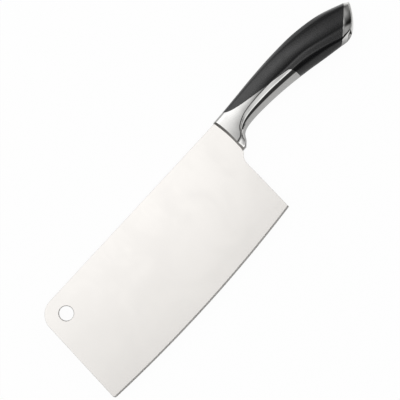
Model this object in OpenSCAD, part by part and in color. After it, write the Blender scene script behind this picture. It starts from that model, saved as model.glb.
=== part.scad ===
// Kitchen cleaver with a cast bolster, a moulded two shell grip and an end cap.
// Lies on its side: +X towards the toe, +Y towards the cutting edge, +Z up.

/* [Blade] */
// Length of the blade from the bolster to the toe
blade_length = 179.4; // [150:0.2:220]
// Depth of the blade from the spine to the lowest point of the edge
blade_depth = 78.8; // [65:0.5:95]
// Thickness of the blade at the spine
spine_thick = 2.5; // [1.8:0.1:4]
// Thickness of the blade just above the edge bevel
edge_thick = 0.8; // [0.5:0.1:1.4]
// Width of the flat left at the very edge
edge_land = 0.1; // [0.06:0.02:0.2]
// Width of the ground edge bevel
bevel_width = 1.1; // [0.8:0.1:2.5]
// Radius of the curve of the cutting edge
edge_radius = 1000; // [600:10:1600]
// Distance from the bolster to the lowest point of the edge
edge_apex = 102.7; // [80:0.5:120]
// Lean of the toe away from square, in degrees
toe_lean = 4.7; // [0:0.1:8]
// Lean of the heel away from square, in degrees
heel_lean = 3.3; // [0:0.1:6]
// Distance from the bolster to the heel, level with the notch
heel_setback = 4.1; // [3:0.1:8]
// Radius of the notch between the guard and the heel
heel_notch = 7.6; // [5:0.1:12]
// Radius of the corner between the spine and the toe
tip_round = 12.8; // [4:0.2:24]
// Radius of the corner between the toe and the edge
toe_round = 2; // [0.8:0.1:4]

/* [Hanging hole] */
// Diameter of the hanging hole
hole_d = 9.8; // [6:0.1:14]
// Distance from the hole to the spine
hole_from_spine = 13.6; // [10:0.1:24]
// Distance from the hole to the toe, along the spine
hole_from_toe = 13.5; // [11:0.1:30]
// Width of the broken edge round the hole
hole_break = 0.25; // [0.1:0.05:0.5]

/* [Handle] */
// Length of the handle from the front of the bolster to the butt
handle_length = 121; // [105:1:140]
// Depth of the handle from the spine line to its lowest point
handle_depth = 28.3; // [25:0.1:32]
// Greatest thickness of the handle
handle_thick = 20.4; // [18:0.1:24]
// Greatest width of the rounded strip along the top
strip_width = 3.3; // [2.4:0.1:4]

/* [Bolster] */
// How far the front of the bolster bows back
front_bow = 0.9; // [0.3:0.1:1.6]
// Slope of the step from the cheek down to the blade, in degrees
step_slope = 62; // [50:1:75]
// Length of the stub of the blade that sits in the bolster
stub_length = 9; // [7:0.5:10]
// Distance from the spine line to the stub
stub_drop = 5; // [3.5:0.5:7]
// Metal left between the stub and the belly of the bolster
stub_cover = 2.5; // [2:0.1:4]
// Step from each side of the blade in to its stub
stub_shoulder = 0.1; // [0.05:0.05:0.3]

/* [Tang] */
// Depth of the tang bar
tang_depth = 7; // [5:0.5:8]
// Thickness of the tang bar
tang_thick = 3; // [2:0.5:4]

/* [Grip] */
// Wall of the grip shells
grip_wall = 3; // [2.4:0.1:4]
// Diameter of the dowels that locate the shells
dowel_d = 4; // [3:0.5:5]
// How far the ends of the dowels stay inside the thickest place of the grip
dowel_cover = 3; // [2.6:0.1:4]
// Distance between the dowels
dowel_pitch = 11; // [9:0.5:12]
// How far the resin bed laps over the tenon of the end cap
bed_lap = 2.5; // [1.5:0.5:3]

/* [End cap] */
// Length of the tenon of the end cap
tenon_length = 10; // [8:0.5:12]
// Depth of the tenon of the end cap
tenon_depth = 11; // [10:0.5:12]
// Thickness of the tenon of the end cap
tenon_thick = 8; // [7:0.5:10]
// Diameter of the cross pin through the tenon
cap_pin_d = 3; // [2:0.5:4]

/* [Hidden] */
$fn = 96;
// Sides of the circle that gives the curve of the edge, and of the small corner below it
edge_fn = 1440;
toe_steps = 20;
// How far every cut runs past what it cuts
overrun = 1;
// How many times its own width the slope of the bevel is carried on above the blade
bevel_carry = 3;

// Half thicknesses
half_spine = spine_thick / 2;
half_edge = edge_thick / 2;
half_handle = handle_thick / 2;

// Stations of the handle from the front to the joint of the end cap, as shares.
// Columns: top line along the handle, top line across it, belly line along,
// belly line across, place of the groove between top and belly, place of the
// ridge, width of the top strip, thickness at the ridge, thickness in the groove.
station_shares = [
    [0.000, -0.024, 0.027, 0.936, 0.750, 0.94, 0.30, 0.46, 0.72],
    [0.050, -0.031, 0.054, 0.834, 0.785, 0.885, 0.30, 0.55, 0.70],
    [0.099, -0.039, 0.087, 0.675, 0.720, 0.805, 0.32, 0.65, 0.74],
    [0.182, -0.059, 0.157, 0.615, 0.590, 0.755, 0.42, 0.80, 0.79],
    [0.331, -0.096, 0.289, 0.627, 0.540, 0.75, 0.52, 0.93, 0.82],
    [0.496, -0.111, 0.430, 0.686, 0.525, 0.745, 0.73, 0.99, 0.84],
    [0.661, -0.078, 0.562, 0.776, 0.510, 0.72, 1.00, 1.00, 0.85],
    [0.826, 0.055, 0.686, 0.880, 0.535, 0.74, 1.00, 0.99, 0.86],
    [0.970, 0.293, 0.788, 0.958, 0.540, 0.800, 0.67, 0.94, 0.88]];
joint_station = len(station_shares) - 1;
station_steps = 5;
// Where the grip and the bed start and the rail has ended, as shares of the table
grip_share = 0.125;
bed_share = 0.625;
rail_share = 0.75;
// Thickness at the top crease and rise of the side over a straight line, as shares
crease_share = 0.84;
crown_share = 0.055;
// Turn of the rounded top and of the rounded belly, in degrees
top_turn = 70;
belly_turn = 62;
// Steps round the top and the belly, down the side and up the flank of the ridge
round_steps = 3;
side_steps = 4;
flank_steps = 2;

// Line where the grip meets the bolster, as Bezier points in shares of length and depth
seat_shares = [[0.080, -0.060], [0.105, 0.165], [0.331, 0.272], [0.497, 0.410]];
// Round end of the belly rail, in the same shares
rail_end_shares = [[0.497, 0.410], [0.517, 0.445], [0.522, 0.560], [0.526, 0.800]];
seat_steps = 14;
rail_end_steps = 6;
// Middle of the tang bar at its front and at its end, in the same shares
tang_shares = [[0.132, 0.184], [0.869, 0.615]];

// Crease and outline of the butt, as Bezier points in shares of length and depth
crease_shares = [[0.993, 0.360], [0.955, 0.618], [0.901, 0.834], [0.847, 0.869]];
butt_shares = [[0.998, 0.364], [0.963, 0.618], [0.913, 0.890], [0.865, 0.962]];
// Ends of the crease and of the outline at the belly, in the same shares
crease_belly_share = [0.828, 0.992];
butt_belly_share = [0.846, 0.992];
// Thickness at the crease and at the rim of the end cap, as shares of the joint's
cap_crease_share = 0.95;
cap_rim_share = 0.72;
// Swell of the butt face beyond its rim
butt_crown_share = 0.2;
cap_steps = 3;

function mix(a, b, t) = a + (b - a) * t;

function bezier(p, t) =
    p[0] * pow(1 - t, 3) + 3 * p[1] * t * pow(1 - t, 2)
    + 3 * p[2] * pow(t, 2) * (1 - t) + p[3] * pow(t, 3);

// Row of a table at any place between its rows, on a smooth curve through them
function spline(table, u) =
    let (
        last = len(table) - 1,
        i = min(floor(u), last - 1),
        f = u - i,
        b = table[i],
        c = table[i + 1],
        a = i == 0 ? 2 * b - c : table[i - 1],
        d = i == last - 1 ? 2 * c - b : table[i + 2])
    (2 * b + (c - a) * f + (2 * a - 5 * b + 4 * c - d) * pow(f, 2)
        + (3 * b - a - 3 * c + d) * pow(f, 3)) / 2;

// Point of the side view from shares of the length and the depth of the handle
function handle_point(share) = [-share[0] * handle_length, share[1] * handle_depth];

// Half section at a station as distances down from the top and half thicknesses,
// set in from the outer surface by the given wall
function half_section(u, inset) =
    let (
        row = spline(station_shares, u),
        chord = norm(handle_point([row[2], row[3]]) - handle_point([row[0], row[1]])),
        strip = row[6] * strip_width,
        groove = row[4] * chord,
        ridge = row[5] * chord,
        band = chord - ridge,
        thick = row[7] * half_handle,
        crease_z = crease_share * thick - inset,
        groove_z = row[8] * thick - inset,
        ridge_z = thick - inset,
        crown_z = crown_share * thick,
        squeeze = (chord - 2 * inset) / chord,
        outer = concat(
            [for (a = [0 : round_steps])
                let (turn = top_turn * a / round_steps)
                [strip * (1 - cos(turn)) / (1 - cos(top_turn)),
                    crease_z * sin(turn) / sin(top_turn)]],
            [for (a = [1 : side_steps])
                let (t = a / side_steps)
                [mix(strip, groove, t), mix(crease_z, groove_z, t) + crown_z * 4 * t * (1 - t)]],
            [for (a = [1 : flank_steps])
                let (t = a / flank_steps)
                [mix(groove, ridge, t), mix(groove_z, ridge_z, t)]],
            [for (a = [1 : round_steps])
                let (turn = belly_turn * (1 - a / round_steps))
                [chord - band * (1 - cos(turn)) / (1 - cos(belly_turn)),
                    ridge_z * sin(turn) / sin(belly_turn)]]))
    [for (p = outer) [inset + p[0] * squeeze, p[1]]];

// The same section as points in space
function half_ring(u, inset = 0) =
    let (
        row = spline(station_shares, u),
        top = handle_point([row[0], row[1]]),
        belly = handle_point([row[2], row[3]]),
        down = (belly - top) / norm(belly - top))
    [for (p = half_section(u, inset))
        let (q = top + down * p[0])
        [q[0], q[1], p[1]]];

ring_steps = len(half_section(0, 0)) - 1;
ring_points = 2 * ring_steps;

// Whole ring from a half ring: down one side and up the other
function flip(p) = [p[0], p[1], -p[2]];
function whole_ring(half) =
    concat(half, [for (i = [ring_steps - 1 : -1 : 1]) flip(half[i])]);

// Faces round the outside between whole rings, numbered from zero to the last
function side_faces(last) =
    [for (k = [0 : last - 1]) for (i = [0 : ring_points - 1])
        let (j = (i + 1) % ring_points, a = k * ring_points, b = a + ring_points)
        each [[a + i, b + i, b + j], [a + i, b + j, a + j]]];

// Faces that close the first ring, in strips from one side to the other
front_faces = [for (i = [0 : ring_steps - 1])
    let (j = (ring_points - i) % ring_points)
    each i == 0 ? [[0, 1, ring_points - 1]]
        : i == ring_steps - 1 ? [[i, ring_steps, j]]
        : [[i, i + 1, j - 1], [i, j - 1, j]]];

// Solid between whole rings
module loft(rings) {
    last = len(rings) - 1;
    back_faces = [for (f = front_faces) [for (i = [2 : -1 : 0]) f[i] + last * ring_points]];
    polyhedron(points = [for (r = rings) each r],
        faces = concat(side_faces(last), front_faces, back_faces));
}

// Places in the table of stations from one share of it to another
function stations(from, to) =
    let (steps = round((to - from) * joint_station * station_steps))
    [for (k = [0 : steps]) joint_station * mix(from, to, k / steps)];

// The handle from a share of the table to its joint, and any rings past that
module handle_form(from, inset = 0, past = []) {
    loft(concat([for (u = stations(from, 1)) whole_ring(half_ring(u, inset))], past));
}

// Region of the side view that the grip fills behind the bolster
module grip_region() {
    seat = [for (k = [0 : seat_steps]) handle_point(bezier(seat_shares, k / seat_steps))];
    end = [for (k = [1 : rail_end_steps])
        handle_point(bezier(rail_end_shares, k / rail_end_steps))];
    far = -handle_length - overrun;
    translate([0, 0, -handle_thick])
        linear_extrude(2 * handle_thick)
            polygon(concat(seat, end, [
                [end[rail_end_steps - 1][0], handle_depth + overrun],
                [far, handle_depth + overrun],
                [far, -handle_depth],
                [seat[0][0], -handle_depth]]));
}

// Frame of the tang bar: +X towards the butt along the bar
tang_start = handle_point(tang_shares[0]);
tang_run = handle_point(tang_shares[1]) - tang_start;
tang_length = norm(tang_run);
module along_tang() {
    translate([tang_start[0], tang_start[1], 0])
        mirror([1, 0, 0])
            rotate(atan2(tang_run[1], -tang_run[0]))
                children();
}

module tang_bar() {
    translate([0, -tang_depth / 2, -tang_thick / 2])
        cube([tang_length, tang_depth, tang_thick]);
}

// Places along the tang bar
pin_from_end = 1.5 * cap_pin_d;
tenon_front = tang_length - tenon_length;
bed_end = tenon_front + bed_lap;
dowel_from_tenon = dowel_d;
dowel_places = [for (k = [0 : 1]) tenon_front - dowel_from_tenon - k * dowel_pitch];
bed_start = dowel_places[1] - dowel_from_tenon;

module dowels() {
    dowel_length = handle_thick - 2 * dowel_cover;
    for (x = dowel_places)
        translate([x, 0, -dowel_length / 2])
            cylinder(d = dowel_d, h = dowel_length);
}

module tenon() {
    translate([tenon_front, -tenon_depth / 2, -tenon_thick / 2])
        cube([tenon_length + handle_thick, tenon_depth, tenon_thick]);
}

module pin() {
    translate([tang_length - pin_from_end, 0, -tenon_thick / 2])
        cylinder(d = cap_pin_d, h = tenon_thick);
}

// Space inside the grip shells from behind the rail to just past the tenon's front
module bed_space() {
    intersection() {
        handle_form(bed_share, grip_wall);
        along_tang()
            translate([bed_start, -handle_depth, -half_handle])
                cube([bed_end - bed_start, 2 * handle_depth, handle_thick]);
    }
}

// Circle of the front of the bolster, bowed back between spine and guard
guard_drop = station_shares[0][3] * handle_depth;
front_radius = (pow(guard_drop / 2, 2) + pow(front_bow, 2)) / (2 * front_bow);
front_centre = [front_radius - front_bow, guard_drop / 2];

// Places of the edge, the toe, the heel and the hole
edge_centre = [edge_apex, blade_depth - edge_radius];
toe_x = blade_length - blade_depth * tan(toe_lean);
notch_drop = guard_drop + heel_notch;
heel_x = heel_setback - notch_drop * tan(heel_lean);
hole_at = [toe_x - hole_from_toe, hole_from_spine];

// Middle of the corner between the leaning toe and the curved edge
toe_along = [sin(toe_lean), cos(toe_lean)];
toe_inward = [-cos(toe_lean), sin(toe_lean)];
toe_start = [toe_x, 0] + toe_round * toe_inward - edge_centre;
toe_offset = toe_start * toe_along;
toe_run = sqrt(pow(toe_offset, 2) + pow(edge_radius - toe_round, 2) - toe_start * toe_start)
    - toe_offset;
toe_centre = edge_centre + toe_start + toe_run * toe_along;
toe_reach = toe_centre[0] + toe_round;

// Corner between the spine and the toe, outside its rounding
module tip_corner() {
    run = tip_round * tan((90 - toe_lean) / 2);
    centre = [toe_x + tip_round * tan(toe_lean) - tip_round / cos(toe_lean), tip_round];
    touch = centre + tip_round * [cos(toe_lean), -sin(toe_lean)];
    difference() {
        polygon([
            centre,
            [centre[0], -overrun],
            [toe_x + run, -overrun],
            [toe_x + run, touch[1]],
            touch]);
        translate(centre)
            circle(tip_round);
    }
}

module blade_outline() {
    difference() {
        intersection() {
            polygon([
                [-overrun, 0],
                [toe_x, 0],
                [toe_x + blade_depth * tan(toe_lean), blade_depth],
                [toe_x + blade_depth * tan(toe_lean), blade_depth + overrun],
                [-overrun, blade_depth + overrun]]);
            translate(edge_centre)
                circle(edge_radius, $fn = edge_fn);
        }
        tip_corner();
        toe_corner();
        heel_cut();
    }
}

// What is cut away behind the heel and below the guard
module heel_cut() {
    deep = blade_depth + overrun;
    notch = [heel_setback - heel_notch / cos(heel_lean), notch_drop];
    touch = notch + heel_notch * [cos(heel_lean), -sin(heel_lean)];
    polygon([
        [-2 * heel_notch, guard_drop],
        [notch[0], guard_drop],
        notch,
        touch,
        [heel_x + deep * tan(heel_lean), deep],
        [-2 * heel_notch, deep]]);
    translate(notch)
        circle(heel_notch);
}

// Corner between the toe and the edge, outside its rounding
module toe_corner() {
    outward = (toe_centre - edge_centre) / norm(toe_centre - edge_centre);
    last = atan2(outward[1], outward[0]);
    arc = [for (k = [0 : toe_steps])
        let (turn = mix(-toe_lean, last, k / toe_steps))
        toe_centre + toe_round * [cos(turn), sin(turn)]];
    polygon(concat(arc, [
        toe_centre + (toe_round + overrun) * outward,
        toe_centre + 2 * toe_round * (outward - toe_inward),
        toe_centre - (toe_round + overrun) * toe_inward]));
}

// Taper of the blade from the spine to the edge, seen along the blade
module blade_taper() {
    reach = blade_length + 2 * overrun;
    translate([-overrun, 0, 0])
        rotate([90, 0, 90])
            linear_extrude(reach)
                polygon([
                    [-overrun, half_spine],
                    [0, half_spine],
                    [blade_depth, half_edge],
                    [blade_depth + overrun, half_edge],
                    [blade_depth + overrun, -half_edge],
                    [blade_depth, -half_edge],
                    [0, -half_spine],
                    [-overrun, -half_spine]]);
}

// Wedge swept along the edge, above the bevel and its slope carried on
module bevel_cut() {
    sweep = 24;
    half_land = edge_land / 2;
    high = half_land + bevel_carry * (half_edge - half_land);
    translate([edge_centre[0], edge_centre[1], 0])
        rotate(90 - sweep / 2)
            rotate_extrude(angle = sweep, $fn = edge_fn)
                polygon([
                    [edge_radius, half_land],
                    [edge_radius + overrun, half_land],
                    [edge_radius + overrun, high],
                    [edge_radius - bevel_carry * bevel_width, high]]);
}

module hole_cut() {
    local_half = mix(half_spine, half_edge, hole_from_spine / blade_depth);
    translate([hole_at[0], hole_at[1], 0]) {
        translate([0, 0, -spine_thick])
            cylinder(d = hole_d, h = 2 * spine_thick);
        for (side = [0, 1])
            mirror([0, 0, side])
                translate([0, 0, local_half - hole_break])
                    cylinder(d1 = hole_d, d2 = hole_d + 4 * hole_break, h = 2 * hole_break);
    }
}

// Stub of the blade, ending short of the belly of the bolster
module stub() {
    bottom = station_shares[2][3] * handle_depth - stub_cover;
    half = mix(half_spine, half_edge, bottom / blade_depth) - stub_shoulder;
    translate([-stub_length, stub_drop, -half])
        cube([stub_length + front_bow, bottom - stub_drop, 2 * half]);
}

// Blade sheet ahead of the bolster, before the grind
module blade_sheet() {
    difference() {
        translate([0, 0, -half_spine])
            linear_extrude(spine_thick)
                blade_outline();
        front_shadow();
    }
}

// Everything behind the front face of the bolster
module front_shadow() {
    translate([0, 0, -spine_thick])
        linear_extrude(2 * spine_thick)
            difference() {
                translate([-handle_length, -handle_depth])
                    square([handle_length + front_bow, handle_depth + notch_drop]);
                translate(front_centre)
                    circle(front_radius, $fn = edge_fn);
            }
}

// Bowed front face of the bolster with its step down to the blade
module front_cut() {
    rise = half_handle - half_spine;
    translate([front_centre[0], front_centre[1], 0]) {
        translate([0, 0, -half_handle])
            cylinder(r = front_radius, h = handle_thick, $fn = edge_fn);
        for (side = [0, 1])
            mirror([0, 0, side])
                translate([0, 0, half_spine])
                    cylinder(r1 = front_radius, r2 = front_radius + rise / tan(step_slope),
                        h = rise, $fn = edge_fn);
    }
}

// Half ring of the end cap: wall runs from zero at the joint to one at the crease,
// and face from zero at the crease to one at the rim
function cap_half(wall, face = 0) =
    let (
        joint = half_ring(joint_station),
        ridge_at = ring_steps - round_steps,
        span = norm([joint[ridge_at][0] - joint[0][0], joint[ridge_at][1] - joint[0][1]]))
    [for (i = [0 : ring_steps])
        let (
            p = joint[i],
            down = norm([p[0] - joint[0][0], p[1] - joint[0][1]]) / span,
            past = max(0, (i - ridge_at) / round_steps),
            crease = i <= ridge_at
                ? handle_point(bezier(crease_shares, down))
                : mix(handle_point(crease_shares[3]), handle_point(crease_belly_share), past),
            rim = i <= ridge_at
                ? handle_point(bezier(butt_shares, down))
                : mix(handle_point(butt_shares[3]), handle_point(butt_belly_share), past),
            q = mix(mix([p[0], p[1]], crease, wall), rim, face),
            z = p[2] * mix(mix(1, cap_crease_share, wall), cap_rim_share, face))
        [q[0], q[1], z]];
cap_rim = cap_half(1, 1);

// Middle line of the butt face, a little proud of the rim between its two ends
butt_line = let (line = cap_half(1, 1 + butt_crown_share))
    [for (i = [1 : ring_steps - 1]) [line[i][0], line[i][1], 0]];

module cap_form() {
    walls = [for (k = [0 : cap_steps]) whole_ring(cap_half(k / cap_steps))];
    rings = concat(walls, [whole_ring(cap_rim)]);
    last = len(rings) - 1;
    butt_faces = [for (i = [0 : ring_steps - 1])
        let (
            rim = last * ring_points,
            a = rim + i,
            b = rim + i + 1,
            c = rim + (ring_points - i) % ring_points,
            d = rim + ring_points - i - 1,
            s = rim + ring_points + i - 1)
        each i == 0 ? [[a, s + 1, b], [c, d, s + 1]]
            : i == ring_steps - 1 ? [[a, s, b], [c, d, s]]
            : [[a, s, s + 1], [a, s + 1, b], [c, d, s + 1], [c, s + 1, s]]];
    polyhedron(points = concat([for (r = rings) each r], butt_line),
        faces = concat(side_faces(last), front_faces, butt_faces));
}

// The whole cleaver is worked out about the front of the bolster and the middle of
// the blade, and then set down on its side about the middle of its outline
top_rise = min([for (u = stations(0, 1)) half_ring(u)[0][1]]);
butt_reach = -min([for (p = concat(cap_rim, butt_line)) p[0]]);
origin = [(toe_reach - butt_reach) / 2, (blade_depth + top_rise) / 2, -half_handle];
module place() {
    translate(-origin)
        children();
}

module blade() {
    color("gainsboro")
        place()
            difference() {
                union() {
                    intersection() {
                        blade_sheet();
                        blade_taper();
                    }
                    stub();
                }
                for (side = [0, 1])
                    mirror([0, 0, side])
                        bevel_cut();
                hole_cut();
            }
}

module bolster() {
    color("silver")
        place()
            difference() {
                bolster_form();
                grip_region();
                front_cut();
                stub();
                along_tang()
                    tang_bar();
            }
}

// Front of the handle, carried forward past the bowed face
module bolster_form() {
    lead = station_shares[0][2] * handle_length + front_bow + overrun;
    first = [for (p = half_ring(0)) [p[0] + lead, p[1], p[2]]];
    loft(concat([whole_ring(first)],
        [for (u = stations(0, rail_share)) whole_ring(half_ring(u))]));
}

module tang() {
    color("darkgray")
        place()
            along_tang()
                difference() {
                    tang_bar();
                    dowels();
                    pin();
                }
}

// One shell of the grip, on the side that the factor gives
module grip_shell(side) {
    difference() {
        intersection() {
            handle_form(grip_share);
            grip_region();
            translate([-handle_length - overrun, -handle_depth, side < 0 ? -handle_thick : 0])
                cube([handle_length + overrun, 3 * handle_depth, handle_thick]);
        }
        bed_space();
        along_tang() {
            tang_bar();
            dowels();
            tenon();
        }
    }
}

module grip_left() {
    color("dimgray")
        place()
            grip_shell(1);
}

module grip_right() {
    color("dimgray")
        place()
            grip_shell(-1);
}

module grip_dowels() {
    color("darkgray")
        place()
            along_tang()
                dowels();
}

module resin_bed() {
    color("tan")
        place()
            difference() {
                bed_space();
                along_tang() {
                    tang_bar();
                    dowels();
                    tenon();
                }
            }
}

// The tenon carried on into the first ring of the end cap, which it is one with
module cap_tenon() {
    intersection() {
        along_tang()
            tenon();
        handle_form(rail_share, past = [whole_ring(cap_half(1 / cap_steps))]);
    }
}

module end_cap() {
    color("silver")
        place()
            difference() {
                union() {
                    cap_form();
                    cap_tenon();
                }
                along_tang() {
                    tang_bar();
                    pin();
                }
            }
}

module cap_pin() {
    color("darkgray")
        place()
            along_tang()
                pin();
}

blade();
bolster();
tang();
grip_left();
grip_right();
grip_dowels();
resin_bed();
end_cap();
cap_pin();
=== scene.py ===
import math

import bmesh
import bpy
import numpy as np
from bpy.props import FloatProperty, FloatVectorProperty, PointerProperty
from mathutils import Matrix, Vector


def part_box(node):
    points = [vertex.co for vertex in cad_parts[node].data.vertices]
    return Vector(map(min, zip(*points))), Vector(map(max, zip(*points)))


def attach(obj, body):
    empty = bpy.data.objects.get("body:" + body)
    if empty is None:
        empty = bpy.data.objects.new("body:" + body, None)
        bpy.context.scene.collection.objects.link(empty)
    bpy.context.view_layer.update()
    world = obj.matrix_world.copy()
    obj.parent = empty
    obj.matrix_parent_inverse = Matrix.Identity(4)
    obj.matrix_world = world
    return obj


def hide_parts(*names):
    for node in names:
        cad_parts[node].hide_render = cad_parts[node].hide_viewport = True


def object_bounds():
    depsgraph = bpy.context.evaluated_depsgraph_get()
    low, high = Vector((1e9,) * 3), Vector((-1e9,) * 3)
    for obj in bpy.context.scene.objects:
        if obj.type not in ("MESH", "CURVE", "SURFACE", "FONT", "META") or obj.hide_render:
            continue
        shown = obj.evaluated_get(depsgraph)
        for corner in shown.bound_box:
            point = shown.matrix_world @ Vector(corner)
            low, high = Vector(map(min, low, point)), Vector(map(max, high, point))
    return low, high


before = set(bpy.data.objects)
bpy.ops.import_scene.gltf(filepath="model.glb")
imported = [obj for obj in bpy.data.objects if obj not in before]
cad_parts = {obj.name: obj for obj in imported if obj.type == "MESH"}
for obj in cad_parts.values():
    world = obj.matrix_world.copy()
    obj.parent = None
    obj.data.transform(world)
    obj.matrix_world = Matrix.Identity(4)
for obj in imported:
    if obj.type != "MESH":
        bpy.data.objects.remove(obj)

bl_info = {
    "name": "Kitchen Cleaver",
    "version": (1, 0, 0),
    "blender": (4, 5, 0),
    "location": "3D View > Sidebar > Cleaver",
    "description": "Dresses the packed frame of a kitchen cleaver: blade, bolster, grip, end cap",
    "category": "Object",
}

# The whole cleaver is one rigid body
BODY = "root"
MM = 0.001
CAD_LOW, CAD_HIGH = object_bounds()
GAUGE_LOW, GAUGE_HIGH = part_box("blade")

# Stations of the handle from the front of the bolster to the joint of the end cap.
# Columns: top line along the handle and across it, belly line along and across (shares
# of the handle's length and depth), place of the groove and of the ridge between top
# and belly, width of the top strip, thickness at the ridge and in the groove, and rise of
# the side over a straight line.
STATION_SHARES = np.array([
    [0.000, -0.024, 0.027, 0.936, 0.765, 0.94, 0.42, 0.46, 0.765, 0.050],
    [0.050, -0.031, 0.054, 0.834, 0.800, 0.875, 0.42, 0.55, 0.725, 0.048],
    [0.099, -0.039, 0.087, 0.675, 0.733, 0.805, 0.38, 0.65, 0.780, 0.040],
    [0.182, -0.059, 0.157, 0.615, 0.610, 0.755, 0.42, 0.80, 0.840, 0.030],
    [0.331, -0.096, 0.289, 0.627, 0.575, 0.75, 0.52, 0.93, 0.858, 0.053],
    [0.496, -0.111, 0.430, 0.686, 0.595, 0.745, 0.73, 0.99, 0.85, 0.080],
    [0.661, -0.078, 0.562, 0.776, 0.565, 0.73, 1.15, 1.00, 0.90, 0.088],
    [0.826, 0.055, 0.686, 0.880, 0.605, 0.77, 1.35, 0.99, 0.91, 0.088],
    [0.970, 0.293, 0.788, 0.958, 0.610, 0.845, 0.95, 0.94, 0.92, 0.080]])
# Place of the ridge on the guard's front facet, and the stations between which it gets there
GUARD_RIDGE_SHARE = 0.965
GUARD_STATIONS = (0.82, 1.04)
JOINT_STATION = len(STATION_SHARES) - 1
# Bezier points of the line where the grip meets the bolster, and of the rail's round end
SEAT_SHARES = np.array([[0.078, -0.032], [0.089, 0.158], [0.335, 0.272], [0.490, 0.422]])
RAIL_END_SHARES = np.array([[0.490, 0.422], [0.506, 0.460], [0.512, 0.565], [0.516, 0.800]])
# Bezier points of the crease and of the outline of the butt, and their ends at the belly
CREASE_SHARES = np.array([[0.990, 0.360], [0.962, 0.560], [0.928, 0.760], [0.881, 0.855]])
BUTT_SHARES = np.array([[0.9975, 0.364], [0.963, 0.618], [0.913, 0.890], [0.865, 0.962]])
CREASE_BELLY_SHARE = np.array([0.828, 0.992])
BUTT_BELLY_SHARE = np.array([0.846, 0.992])
# Thickness at the crease and the rim of the end cap, as shares of the joint's, and how far
# the butt face swells beyond its rim
CAP_CREASE_SHARE = 0.93
CAP_RIM_SHARE = 0.72
BUTT_CROWN_SHARE = 0.2
# Thickness at the top crease, as a share of the side's
CREASE_SHARE = 0.87
# Turn of the rounded top and of the rounded belly
TOP_TURN = math.radians(70)
BELLY_TURN = math.radians(62)

# Places of the crease, the groove and the ridge on the way round half a section
CREASE_S, GROOVE_S, RIDGE_S = 0.26, 0.60, 0.76
# How much closer the grid's places lie there: place on the way round, gain and width
CLOSER = ((CREASE_S, 3, 0.05), (GROOVE_S, 3, 0.05), (RIDGE_S, 1.5, 0.06), (0, 2.5, 0.03),
          (1, 2.5, 0.03))
# Half width of the window that rounds the handle's creases, and the bells added to it about
# the belly, the groove and the ridge: place, height in the bolster and in the grip, and width
WINDOW = 0.012
WINDOW_BELLS = ((1.0, 0.028, 0.028, 0.2), (GROOVE_S, 0.004, 0.032, 0.06),
                (RIDGE_S, 0.030, 0.045, 0.07))
# What is added at the ridge along the rail, with the rail's middle and width in stations
RAIL_WINDOW = 0.045
RAIL_STRETCH = (4.2, 1.6)
RAIL_BELL = (RIDGE_S, 0.07)
# Station where the sharp crease below the cheek starts to fade, and over how many stations
# it does, in the bolster's metal and in the grip
CAST_FADE = (3.8, 1.2)
GRIP_FADE = (1.5, 3.0)
# Widths of the fine dips at the top crease, below the cheek and along the seam
CREASE_WIDTH, CHEEK_WIDTH, SEAM_WIDTH = 0.018, 0.011, 0.012
# How gently the guard's fall starts, and the ways round over which it sets in below the
# groove and ends at the belly
SCOOP_ROUND = 1 * MM
SCOOP_RUN, SCOOP_END = 0.08, 0.1
# Wear at edges and along creases. Widths on the way round of the wear along creases and of
# the painted shade below the cheek, the stations of that painted shade and how much of it lies
# there
EDGE_WEAR, CREASE_WEAR = 0.6, 0.5
WEAR_WIDTH, CREASE_SHADE_WIDTH = 0.02, 0.012
CREASE_SHADE_STATIONS = (1.2, 2.4, 3.4, 4.8)
CREASE_SHADE_LEVELS = (1, 0.4, 0.4, 0)
# Place and width of the cap's wear, painted crease shade and dip, on the way that the next table
# runs
RIM_BELL, CAP_SHADE_BELL, CAP_DIP_BELL = (2, 0.2), (1.02, 0.10), (1.0, 0.06)
# The end cap's way from the joint (0) over the crease (1) and the rim (2) to the middle (3):
# stretches with their counts of points
CAP_STRETCHES = (
    (0, 0.85, 30), (0.85, 1.15, 14), (1.15, 1.8, 10), (1.8, 2.2, 12), (2.2, 3, 10))
# Window of the end cap: everywhere, what is added (place, height, width), and how far from
# the joint it stays shut
CAP_WINDOW = 0.02
CAP_WINDOWS = ((1, 0.08, 0.2), (2, 0.16, 0.25))
CAP_FIXED = 0.1
# Samples in the handle's and the cap's window, and how far their weight falls to its ends
TAPS, CAP_TAPS = 13, 9
TAP_FALL = 0.85
# Points along and round the grids, across walls, round the blade's broken edges, and in the
# first look at how the seat line runs
ALONG_STEPS = 110
ROUND_STEPS = 220
WALL_STEPS = 6
BREAK_STEPS = 4
FINE_STEPS = 2000
# How much the bolster's and the grip's points crowd towards both ends
BOLSTER_CROWD, GRIP_CROWD = 0.6, 0.35
# Distance within which points merge, and angles over which a crease stays sharp, in degrees
MERGE = 1e-7
BLADE_SHARP, HANDLE_SHARP = 30.0, 38.0
# Sine of the turn under which a corner of an outline counts as straight
STRAIGHT = 0.15
# Steps of halving when a crossing is looked for
HALVINGS = 40
# How deep the blade's front goes into the bolster, over which run it gets there, and how far
# it starts from the notch and from the spine
TUCK, TUCK_RUN = 0.6 * MM, 2 * MM
TUCK_FROM_NOTCH, TUCK_FROM_SPINE = 1.6 * MM, 1 * MM

# Spacing of the nodes in a shader tree
NODE_WIDTH, NODE_HEIGHT = 220, 260
# Colour of the shade painted into creases
CREASE_SHADE_COLOUR = (0.03, 0.03, 0.028)


def number(name, description, default, unit="NONE"):
    """Number that a user may change."""
    return FloatProperty(name=name, description=description, default=default, unit=unit)


def size(name, description, millimetres):
    """Length that a user may change, with its default in millimetres."""
    return number(name, description, millimetres * MM, "LENGTH")


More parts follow.
